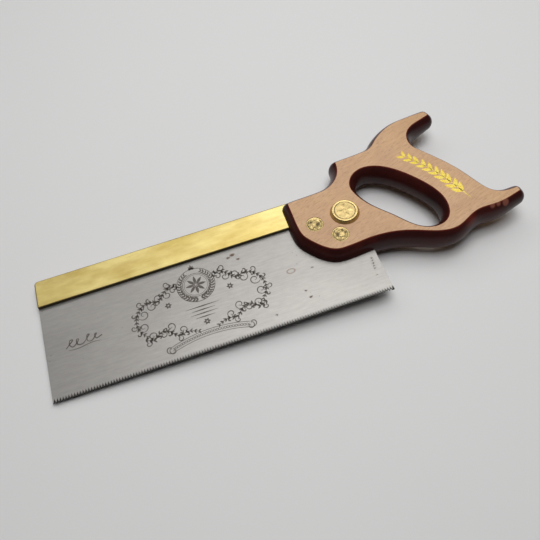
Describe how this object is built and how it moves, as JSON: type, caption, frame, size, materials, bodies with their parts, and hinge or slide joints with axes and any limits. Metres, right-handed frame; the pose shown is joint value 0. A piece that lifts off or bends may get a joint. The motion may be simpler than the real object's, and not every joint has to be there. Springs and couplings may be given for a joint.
{
  "type": "tenon saw",
  "caption": "Brass-backed tenon saw: straight fine-toothed steel plate under a stiff back, held in a closed two-horned wooden handle by brass saw screws with split nuts.",
  "frame": {"origin": "bottom centre of the saw's box as it lies on its right cheek, medallion up", "axes": "+X along the tooth line from toe to heel and handle, +Y from the teeth to the back, +Z out of the left cheek"},
  "size_m": [0.3832, 0.151, 0.026],
  "materials": {
    "beech": "waxed flat cheeks, edges stained dark red-brown and polished",
    "plate_steel": "ground lengthwise, with a fine grey etched ornament",
    "back_brass": "polished lengthwise",
    "screw_brass": "turned and polished",
    "gilding": "thin gold leaf laid on the grip's cheek"
  },
  "bodies": {
    "saw": {"handle": "beech", "plate": "plate_steel", "back": "back_brass", "medallion_screw": "screw_brass", "front_screw": "screw_brass", "lower_screw": "screw_brass"},
    "medallion_nut": {"medallion_nut": "screw_brass"},
    "front_nut": {"front_nut": "screw_brass"},
    "lower_nut": {"lower_nut": "screw_brass"}
  },
  "joints": [
    {"name": "medallion_nut_turn", "type": "hinge", "parent": "saw", "child": "medallion_nut", "pos_m": [0.05137, -0.0055, 0.0017], "axis": [0, 0, 1], "continuous": true},
    {"name": "front_nut_turn", "type": "hinge", "parent": "saw", "child": "front_nut", "pos_m": [0.02587, -0.0075, 0.0017], "axis": [0, 0, 1], "continuous": true},
    {"name": "lower_nut_turn", "type": "hinge", "parent": "saw", "child": "lower_nut", "pos_m": [0.04088, -0.023, 0.0017], "axis": [0, 0, 1], "continuous": true}
  ]
}
